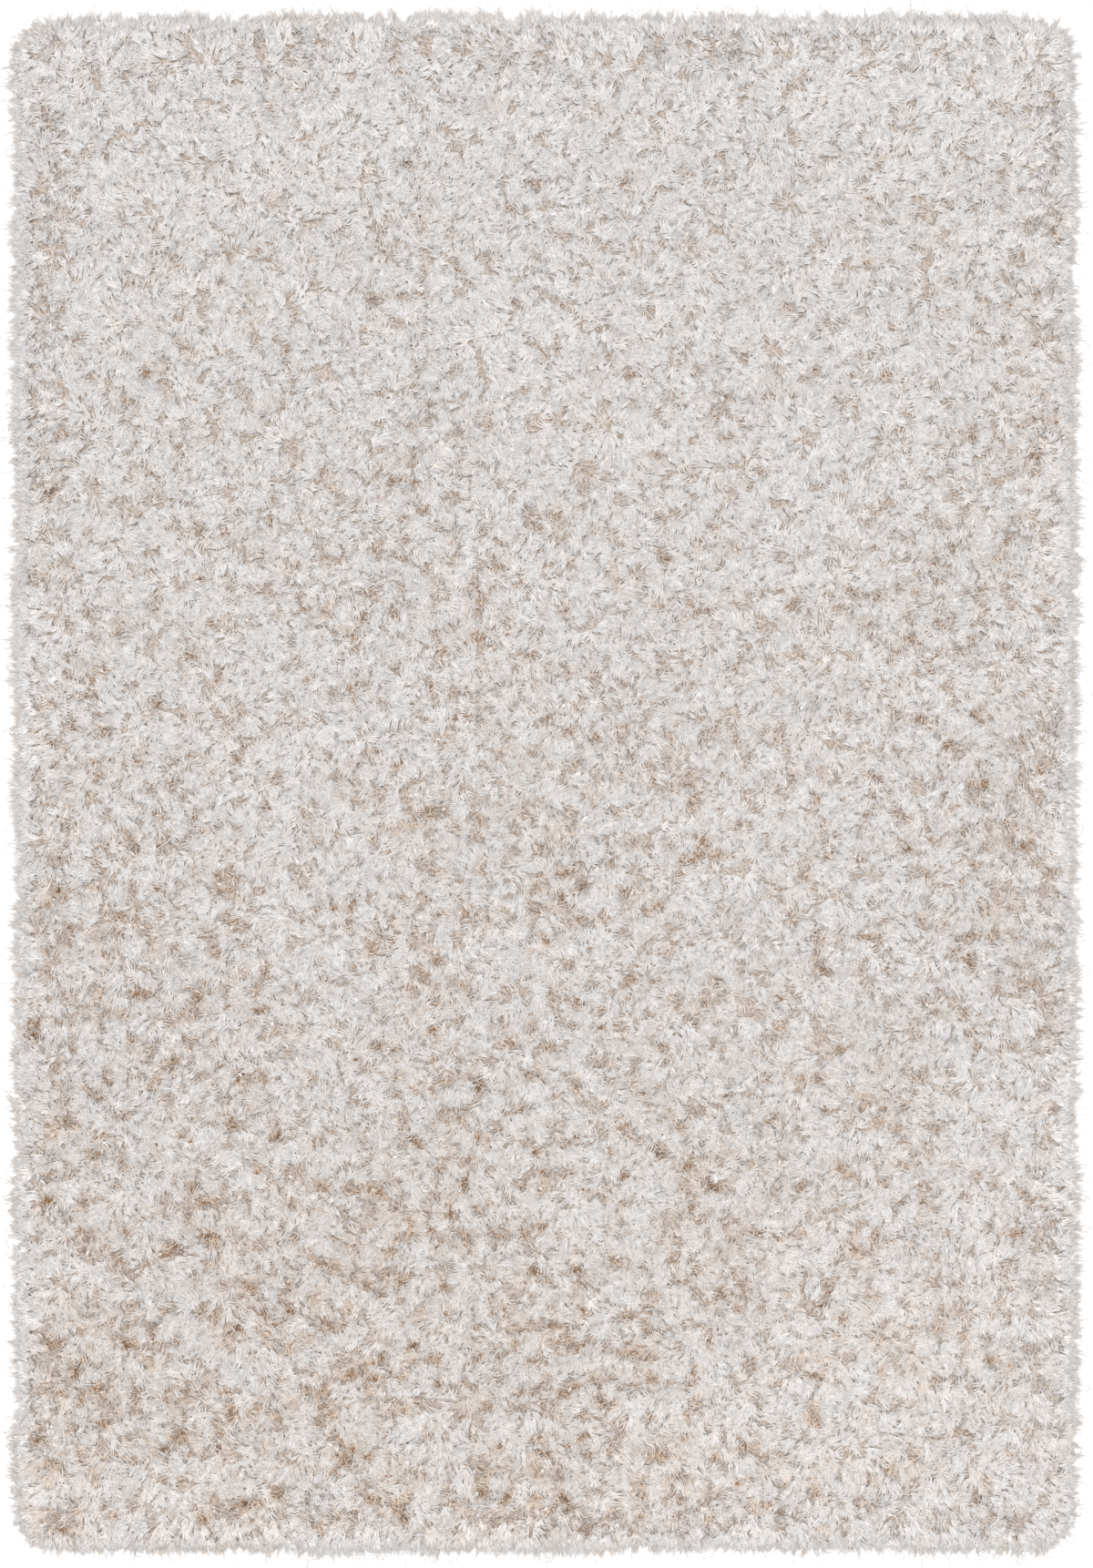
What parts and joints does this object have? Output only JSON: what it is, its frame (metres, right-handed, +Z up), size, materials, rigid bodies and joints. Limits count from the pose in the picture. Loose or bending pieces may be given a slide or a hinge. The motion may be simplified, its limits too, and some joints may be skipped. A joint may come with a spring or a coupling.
{
  "type": "shag rug",
  "caption": "Rectangular shag rug, laid flat: a woven ground cloth with a deep ivory pile of cut yarn that droops over its rim.",
  "frame": {"origin": "middle of the ground cloth's underside, on the plane that the rug lies on", "axes": "+X across the rug, +Y along it towards the end that is uppermost in the picture, +Z up out of the pile"},
  "size_m": [1.6064, 2.318, 0.0393],
  "materials": {
    "ground_cloth": "woven natural cotton with a dry, matt face",
    "pile_yarn": "ivory cut yarn with a soft sheen and taupe shadow between the tufts"
  },
  "bodies": {
    "root": {"ground_cloth": "ground_cloth", "pile": "pile_yarn"}
  },
  "joints": []
}
